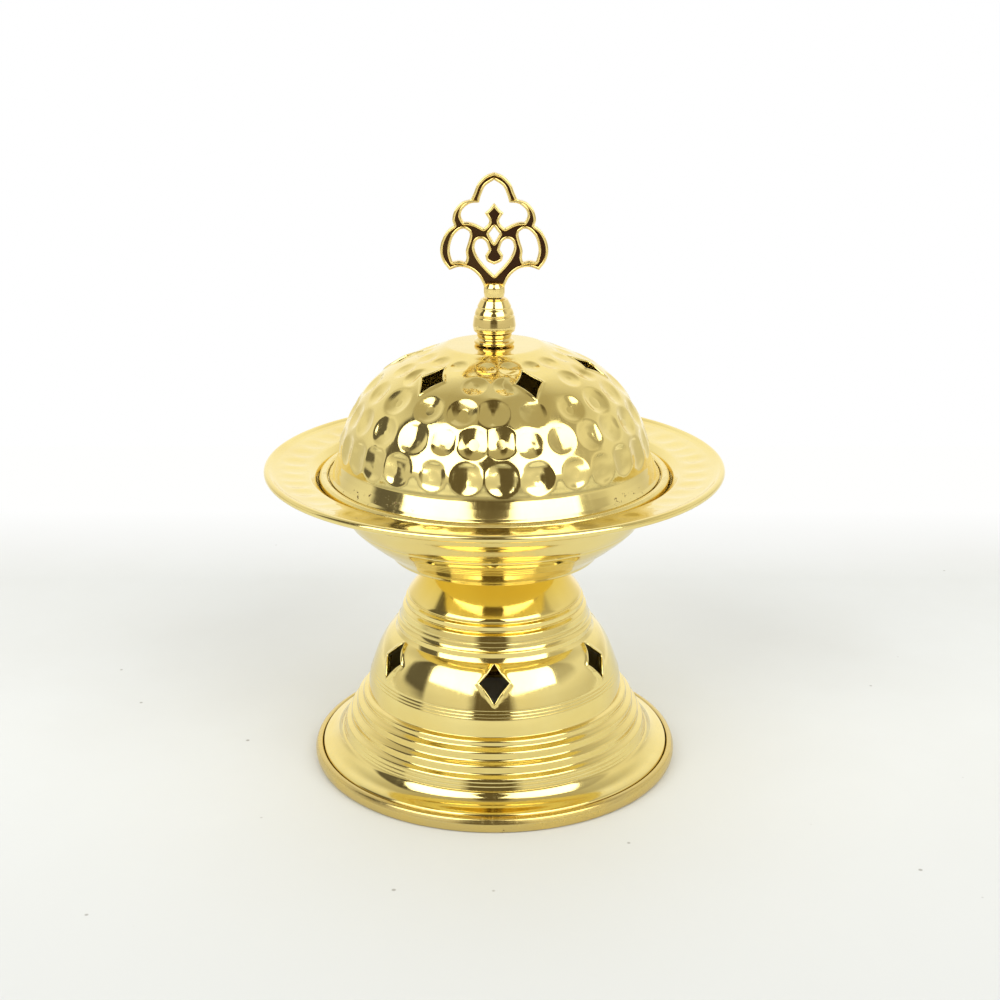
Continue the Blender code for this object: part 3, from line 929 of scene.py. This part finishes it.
def makeStem():
    bottom, top, radius = levels("finial_stem")
    hole = finialDims["hole"]
    neck = roundCorners([
        (hole, top), (3.3, top, 0.2), (3.45, 146.55, 0.15), (3.2, 146.3, 0.08), (4.0, 146.15, 0.25),
        (4.6, 145.0),
    ])
    pear = curveThrough([(4.6, 145.0), (5.05, 144.1), (4.9, 143.85), (5.5, 142.9), (5.85, 141.8)], 0.25)[1:]
    rings = roundCorners([
        (5.85, 141.8), (5.65, 141.45, 0.12), (6.05, 141.1, 0.3), (6.25, 139.9, 0.6), (6.45, 138.4, 0.6),
        (6.3, 137.35, 0.15), (6.0, 137.15, 0.08), (6.25, 136.9, 0.15), (5.8, bottom + 0.1, 0.2),
        (5.3, bottom, 0.1), (hole, bottom),
    ])[1:]
    path = neck + pear + rings
    turnedPiece("cast_stem", "finial_stem", castBrass, path, 0.5, finialDims["columns"])


# Half outlines of the crest at its right: each is a run of smooth stretches that meet in corners.
crestDims = {
    "spacing": 0.32,
    "thickness": 2.6,
    "border": 0.8,
    "sunk": 0.75,
    "round": 0.28,
    "edge": [
        [(0.0, 183.3), (2.6, 182.25), (4.8, 180.0), (5.9, 177.4), (6.8, 175.5)],
        [(6.8, 175.5), (9.5, 174.6), (11.5, 172.4), (12.2, 169.8), (11.7, 168.0)],
        [(11.7, 168.0), (13.8, 166.3), (15.4, 163.4), (15.85, 160.4), (15.1, 157.6), (13.2, 155.0)],
        [(13.2, 155.0), (10.3, 155.9), (7.2, 155.3), (4.8, 153.4), (3.4, 151.0), (2.8, 149.0)],
    ],
    "arch": [
        [(0.0, 181.2), (2.5, 179.5), (3.8, 176.8), (4.4, 174.7)],
        [(4.4, 174.7), (7.0, 174.4), (9.1, 172.8), (9.7, 170.8), (8.9, 168.9)],
        [(8.9, 168.9), (7.4, 168.9), (5.4, 168.3), (3.1, 167.1)],
        [(3.1, 167.1), (1.9, 168.2), (1.5, 169.6), (2.7, 171.6)],
        [(2.7, 171.6), (1.5, 172.6), (0.0, 174.5)],
    ],
    "lozenge": [
        [(0.0, 167.7), (0.8, 166.6), (1.6, 165.6)],
        [(1.6, 165.6), (0.8, 164.2), (0.0, 162.8)],
    ],
    "heart": [
        [
            (0.0, 153.2), (2.73, 156.0), (4.82, 158.8), (5.78, 161.5),
            (5.19, 163.6), (3.73, 164.15), (2.37, 163.2), (1.55, 160.9),
        ],
        [(1.55, 160.9), (2.64, 159.2)],
        [(2.64, 159.2), (2.09, 157.6), (0.0, 156.6)],
    ],
    "side": [
        [
            (7.35, 166.3), (8.69, 167.1), (10.27, 166.7), (11.93, 164.9), (12.80, 162.4),
            (12.96, 160.0), (12.25, 157.3),
        ],
        [(12.25, 157.3), (10.27, 157.6), (8.53, 157.2)],
        [(8.53, 157.2), (8.14, 158.6), (8.30, 160.8), (7.59, 163.2), (7.11, 165.2), (7.35, 166.3)],
    ],
}


def smoothOutline(stretches, spacing):
    outline = []
    for stretch in stretches:
        outline += curveThrough(stretch, spacing)[:-1]
    return outline + [Vector(stretches[-1][-1])]


def moveOutline(points, distance):
    # A closed outline moved to the left of its direction, where the metal is.
    moved = []
    for index, here in enumerate(points):
        before = (here - points[index - 1]).normalized()
        after = (points[(index + 1) % len(points)] - here).normalized()
        along = (before + after).normalized()
        moved.append(here + Vector((-along.y, along.x)) * distance)
    return moved


def crestOutlines():
    # The edge of the crest and its openings, each with the metal on the left of its direction.
    outlines = []
    for key in ("edge", "arch", "lozenge", "heart"):
        half = smoothOutline(crestDims[key], crestDims["spacing"])
        other = [Vector((-point.x, point.y)) for point in reversed(half)]
        outlines.append(half + (other[:-1] if key == "edge" else other[1:-1]))
    side = smoothOutline(crestDims["side"], crestDims["spacing"])[:-1]
    outlines += [side, [Vector((-point.x, point.y)) for point in side]]
    for index, outline in enumerate(outlines):
        area = sum(a.x * b.y - b.x * a.y for a, b in zip(outline, outline[1:] + outline[:1]))
        if (area > 0) != (index == 0):
            outline.reverse()
    return outlines


def addOutline(shape, points, front):
    rowLayer = shape.verts.layers.int.get("row") or shape.verts.layers.int.new("row")
    verts = [shape.verts.new((point.x * mm, -front * mm, point.y * mm)) for point in points]
    for index, vert in enumerate(verts):
        vert[rowLayer] = index
    return [shape.edges.new((verts[k], verts[(k + 1) % len(verts)])) for k in range(len(verts))]


def growOutline(shape, edges, points, front):
    # Extrudes the outline's edges to their next places.
    rowLayer = shape.verts.layers.int["row"]
    grown = bmesh.ops.extrude_edge_only(shape, edges=edges)["geom"]
    verts = {item for item in grown if isinstance(item, bmesh.types.BMVert)}
    for vert in verts:
        point = points[vert[rowLayer]]
        vert.co = (point.x * mm, -front * mm, point.y * mm)
    return [item for item in grown if isinstance(item, bmesh.types.BMEdge) and set(item.verts) <= verts]


def makeCrestPlate():
    # A thin dark web between rounded borders that follow the edge and every opening, mirrored at the back.
    shape = bmesh.new()
    half = crestDims["thickness"] / 2
    border, bend = crestDims["border"], crestDims["round"]
    turns = [math.radians(angle) for angle in (0, 30, 60, 90)]
    rounded = [(bend - bend * math.cos(turn), half - bend + bend * math.sin(turn)) for turn in turns]
    section = rounded + [(border - inset, front) for inset, front in reversed(rounded)] + [(border, 0.0)]
    outlines = crestOutlines()
    webEdges = []
    for outline in outlines:
        webEdges += addOutline(shape, moveOutline(outline, border / 3), half - crestDims["sunk"])
    web = bmesh.ops.triangle_fill(
        shape, edges=webEdges, use_beauty=True, use_dissolve=False, normal=(0, -1, 0)
    )
    walls = bmesh.ops.extrude_edge_only(shape, edges=webEdges)["geom"]
    for item in walls:
        if isinstance(item, bmesh.types.BMVert):
            item.co.y = 0.0
    for item in web["geom"] + walls:
        if isinstance(item, bmesh.types.BMFace):
            item.material_index = 1
    for outline in outlines:
        edges = addOutline(shape, outline, 0.0)
        for inset, front in section:
            edges = growOutline(shape, edges, moveOutline(outline, inset), front)
    geometry = shape.verts[:] + shape.edges[:] + shape.faces[:]
    bmesh.ops.mirror(shape, geom=geometry, axis="Y", merge_dist=weld)
    bmesh.ops.recalc_face_normals(shape, faces=shape.faces[:])
    return shape


def makeCrest():
    bottom = levels("finial_crest")[0]
    boss = finialDims["boss"]
    corners = [
        (0.0, bottom + 2.8), (finialDims["hole"], bottom + 2.8), (finialDims["hole"], bottom),
        (2.9, bottom, 0.15), (boss, bottom + 1.3, 0.8), (boss, bottom + 2.9, 1.2),
        (2.4, bottom + 4.3, 0.8), (0.0, bottom + 4.7),
    ]
    section = densify(roundCorners(corners), 0.4)
    bossShape = turnedSection(section, 60, closed=False)
    bossMesh = bpy.data.meshes.new("crest boss")
    bossShape.to_mesh(bossMesh)
    bossShape.free()
    shape = makeCrestPlate()
    shape.from_mesh(bossMesh)
    bpy.data.meshes.remove(bossMesh)
    finishPiece("cast_crest", shape, "finial_crest", [castBrass, sunkBrass], sharp=50)


makeCollar()
makeStem()
makeCrest()
print("finial cast")


# Washers, nuts, bolt and stud.

fixingDims = {"columns": 72, "chamfer": 0.15, "pitch": 0.8, "threadDepth": 0.28, "nutCorner": 0.45}
boltDims = {"shank": 2.9, "head": 3.0, "slotHalf": 0.55, "slotDeep": 1.2}


def makeWasher(name, node, hole, finish):
    bottom, top, radius = levels(node)
    edge = fixingDims["chamfer"]
    corners = [
        (radius, top, edge), (radius, bottom, edge), (hole, bottom, edge), (hole, top, edge),
    ]
    path = roundCorners(corners, closed=True)
    turnedPiece(name, node, finish, path, 1.2, fixingDims["columns"], sharp=40)


def makeNut(name, node, hole):
    # A turned blank pressed to six flats, its corners left chamfered.
    bottom, top, _ = levels(node)
    low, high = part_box(node)
    flat = min(high.x - low.x, high.y - low.y) / 2 / mm
    corner = flat / math.cos(math.radians(30))
    turnedDown = fixingDims["nutCorner"]
    corners = [
        (corner, top - turnedDown), (corner, bottom + turnedDown), (flat, bottom),
        (hole + 0.3, bottom), (hole, bottom + 0.3), (hole, top - 0.3), (hole + 0.3, top), (flat, top),
    ]
    shape = turnedSection([Vector(point) for point in corners], fixingDims["columns"])
    for vert in shape.verts:
        radius = math.hypot(vert.co.x, vert.co.y) / mm
        if radius < flat + 0.01:
            continue
        angle = math.degrees(math.atan2(vert.co.y, vert.co.x)) % 60
        pressed = flat / math.cos(math.radians(angle - 30))
        vert.co.xy *= min(radius, pressed) / radius
    finishPiece(name, shape, node, [platedSteel], sharp=25)


def threadLine(radius, high, low):
    # Cut rings down a rod from high to low.
    path = []
    depth = fixingDims["threadDepth"]
    count = int((high - low) / fixingDims["pitch"])
    pitch = (high - low) / count
    for number in range(count):
        start = high - number * pitch
        path += [(radius, start), (radius, start - 0.15 * pitch), (radius - depth, start - 0.5 * pitch)]
        path += [(radius, start - 0.85 * pitch)]
    return path + [(radius, low)]


def makeBolt():
    bottom, top, radius = levels("bowl_bolt")
    shank = boltDims["shank"]
    head = top - boltDims["head"]
    dome = roundCorners([
        (0.0, top), (2.2, top - 0.1, 2.0), (4.6, top - 0.9, 2.0), (radius, head + 0.6, 0.3), (radius, head),
    ])
    rod = [(shank, head), (shank, head - 1.5)] + threadLine(shank, head - 1.6, bottom + 0.6)
    section = [Vector(point[:2]) for point in list(dome) + rod + [(shank - 0.5, bottom), (0.0, bottom)]]
    shape = turnedSection(densify(section, 1.0), fixingDims["columns"], closed=False)
    for vert in shape.verts:  # the screwdriver slot
        if vert.co.z / mm > head + 0.7 and abs(vert.co.x / mm) < boltDims["slotHalf"]:
            vert.co.z = min(vert.co.z, (top - boltDims["slotDeep"]) * mm)
    finishPiece("pan_head_bolt", shape, "bowl_bolt", [platedSteel], sharp=30)


def makeStud():
    bottom, top, radius = levels("finial_stud")
    rod = [(0.0, top), (radius - 0.4, top)] + threadLine(radius, top - 0.4, bottom + 0.4)
    section = [Vector(point[:2]) for point in rod + [(radius - 0.4, bottom), (0.0, bottom)]]
    shape = turnedSection(section, fixingDims["columns"], closed=False)
    finishPiece("threaded_stud", shape, "finial_stud", [platedSteel], sharp=30)


makeWasher("brass_packing_ring", "bowl_spacer", 3.3, spunBrass)
for name, node, hole in (
    ("washer_in_bowl", "bowl_washer", 3.3), ("washer_in_pedestal", "pedestal_washer", 3.3),
    ("washer_in_lid", "lid_washer", 2.2),
):
    makeWasher(name, node, hole, platedSteel)
makeNut("pedestal_hex_nut", "bowl_nut", 3.2)
makeNut("lid_hex_nut", "finial_nut", 2.2)
makeBolt()
makeStud()
print("fastenings made")


# Floor, light and camera.

stageDims = {
    "half": 3.0, "back": 0.34, "fadeStart": 0.15, "fadeEnd": 0.235, "frontShadeFull": -0.14, "frontShadeNone": 0.02,
    "pale": (0.785, 0.812, 0.828), "mottled": (0.755, 0.776, 0.782), "front": (0.67425, 0.69448, 0.70459),
    # front is the painted shade tone that the floor darkens to towards the camera
    "speck": (0.16, 0.14, 0.12),
}


def makeFloorFinish():
    material = bpy.data.materials.new("pale floor")
    material.use_nodes = True
    tree = material.node_tree
    shader = tree.nodes["Principled BSDF"]
    position = putNode(tree, "ShaderNodeTexCoord").outputs["Object"]
    mottle = rangeOf(tree, noiseOf(tree, position, 9.0, 5.0, 0.6), 0.35, 0.7)
    color = mixColor(tree, mottle, stageDims["pale"], stageDims["mottled"])
    # Painted shade: the floor darkens to the front tone as it comes towards the camera.
    away = axesOf(tree, position)[1]
    paintedFrontShade = rangeOf(tree, away, stageDims["frontShadeNone"], stageDims["frontShadeFull"])
    color = mixColor(tree, paintedFrontShade, color, stageDims["front"])
    specks = putNode(tree, "ShaderNodeTexVoronoi", {"Vector": position, "Scale": 75.0, "Randomness": 1.0})
    rare = mathOf(tree, "GREATER_THAN", axesOf(tree, specks.outputs["Color"])[0], 0.80)
    dot = times(tree, rangeOf(tree, specks.outputs["Distance"], 0.055, 0.03), rare)
    color = mixColor(tree, times(tree, dot, 0.55), color, stageDims["speck"])
    tree.links.new(color, shader.inputs["Base Color"])
    shader.inputs["Roughness"].default_value = 0.65
    shader.inputs["Specular IOR Level"].default_value = 0.2
    fade = rangeOf(tree, away, stageDims["fadeStart"], stageDims["fadeEnd"])
    white = putNode(tree, "ShaderNodeEmission", {"Color": (1.0, 1.0, 0.99, 1.0), "Strength": 1.0})
    mix = putNode(tree, "ShaderNodeMixShader", {0: fade, 1: shader.outputs[0], 2: white.outputs[0]})
    tree.links.new(mix.outputs[0], tree.nodes["Material Output"].inputs["Surface"])
    return material


def makeFloor():
    shape = bmesh.new()
    bmesh.ops.create_grid(shape, x_segments=2, y_segments=2, size=stageDims["half"])
    bmesh.ops.translate(shape, verts=shape.verts[:], vec=(0, stageDims["back"] - stageDims["half"], -0.0001))
    mesh = bpy.data.meshes.new("floor")
    shape.to_mesh(mesh)
    shape.free()
    floor = placeNew("floor", mesh)
    mesh.materials.append(makeFloorFinish())


lampDims = {
    "leftTurn": -43.0, "rightTurn": 38.5, "rise": 36.0, "away": 1.2, "wide": 1.0, "high": 0.78, "power": 7.0,
    "softWide": 1.6, "softPower": 3.1, "softPlace": (0, 0.1, 1.5),
}


def makeLamp(name, outline, size, power):
    light = bpy.data.lights.new(name, "AREA")
    light.shape = outline
    light.size = size
    light.energy = power
    lamp = placeNew(name, light)
    lamp.visible_camera = False
    return light, lamp


def makeWindow(name, turn):
    light, lamp = makeLamp(name, "RECTANGLE", lampDims["wide"], lampDims["power"])
    light.size_y = lampDims["high"]
    light.color = (1.0, 1.0, 0.98)
    rise = math.radians(lampDims["rise"])
    facing = aroundAxis(math.cos(rise), math.radians(turn), math.sin(rise))
    lamp.location = facing * lampDims["away"] + Vector((0, 0, 0.08))
    lamp.rotation_euler = facing.to_track_quat("Z", "Y").to_euler()


def makeSoftLight():
    # Evens out the floor from above; the brass does not mirror it.
    light, lamp = makeLamp("soft light", "DISK", lampDims["softWide"], lampDims["softPower"])
    lamp.location = lampDims["softPlace"]
    lamp.visible_glossy = False


roomTones = {
    "low": (0.70, 0.68, 0.62), "sides": (0.90, 0.885, 0.835), "high": (0.60, 0.575, 0.50),
    "behind": (1.10, 1.09, 1.06), "above": (0.50, 0.46, 0.36), "aboveBehind": (0.74, 0.72, 0.68),
}
# Darker patches of the room. An edge says across which angle it fades in, from where and to where.
roomPatches = [
    {
        "tone": (0.09, 0.065, 0.03), "share": 0.94,
        "edges": [("middle", 23, 15), ("rise", -4, 4), ("rise", 84, 66)],
    },
    {
        "tone": (0.05, 0.04, 0.035), "share": 0.9,
        "edges": [("turn", -97, -92), ("turn", -66, -69), ("rise", 3, 8), ("rise", 60, 50)],
    },
    {
        "tone": (0.30, 0.27, 0.22), "share": 0.55,
        "edges": [("turn", 62, 66), ("turn", 92, 86), ("rise", 14, 22), ("rise", 60, 50)],
    },
]


def makeRoom():
    # A pale room all round, a little darker overhead and behind the camera.
    world = bpy.data.worlds.new("room")
    bpy.context.scene.world = world
    world.use_nodes = True
    tree = world.node_tree
    tree.nodes.clear()
    x, y, z = axesOf(tree, putNode(tree, "ShaderNodeTexCoord").outputs["Generated"])
    rise = mathOf(tree, "ARCSINE", z)
    turn = mathOf(tree, "ARCTAN2", x, times(tree, y, -1.0))
    middle = mathOf(tree, "ABSOLUTE", mathOf(tree, "ADD", turn, math.radians(2)))
    ways = {"rise": rise, "turn": turn, "middle": middle, "around": mathOf(tree, "ABSOLUTE", turn)}

    def edgeOf(way, start, full):
        return rangeOf(tree, ways[way], math.radians(start), math.radians(full))

    behind = edgeOf("around", 125, 160)
    sides = mixColor(tree, edgeOf("rise", 2, 14), roomTones["low"], roomTones["sides"])
    sides = mixColor(tree, edgeOf("rise", 24, 50), sides, roomTones["high"])
    above = mixColor(tree, behind, roomTones["above"], roomTones["aboveBehind"])
    color = mixColor(tree, behind, sides, roomTones["behind"])
    color = mixColor(tree, edgeOf("rise", 52, 64), color, above)
    for patch in roomPatches:
        share = patch["share"]
        for edge in patch["edges"]:
            share = times(tree, share, edgeOf(*edge))
        color = mixColor(tree, share, color, patch["tone"])
    seen = putNode(tree, "ShaderNodeLightPath").outputs["Is Camera Ray"]
    color = mixColor(tree, seen, color, (1.0, 1.0, 1.0))
    background = putNode(tree, "ShaderNodeBackground", {"Color": color, "Strength": 1.0})
    output = putNode(tree, "ShaderNodeOutputWorld")
    tree.links.new(background.outputs[0], output.inputs["Surface"])


cameraDims = {"place": (0.0017, -0.4853, 0.2444), "pitch": 71.65, "lens": 59.76}


def placeCamera():
    camera = bpy.data.cameras.new("camera")
    camera.lens = cameraDims["lens"]
    camera.sensor_width = 36.0
    camera.clip_start = 0.01
    stand = placeNew("camera", camera)
    stand.location = cameraDims["place"]
    stand.rotation_euler = (math.radians(cameraDims["pitch"]), 0, 0)
    bpy.context.scene.camera = stand


makeFloor()
makeWindow("left window", lampDims["leftTurn"])
makeWindow("right window", lampDims["rightTurn"])
makeSoftLight()
makeRoom()
placeCamera()
bpy.context.scene.view_settings.view_transform = "Standard"
print("stage set")
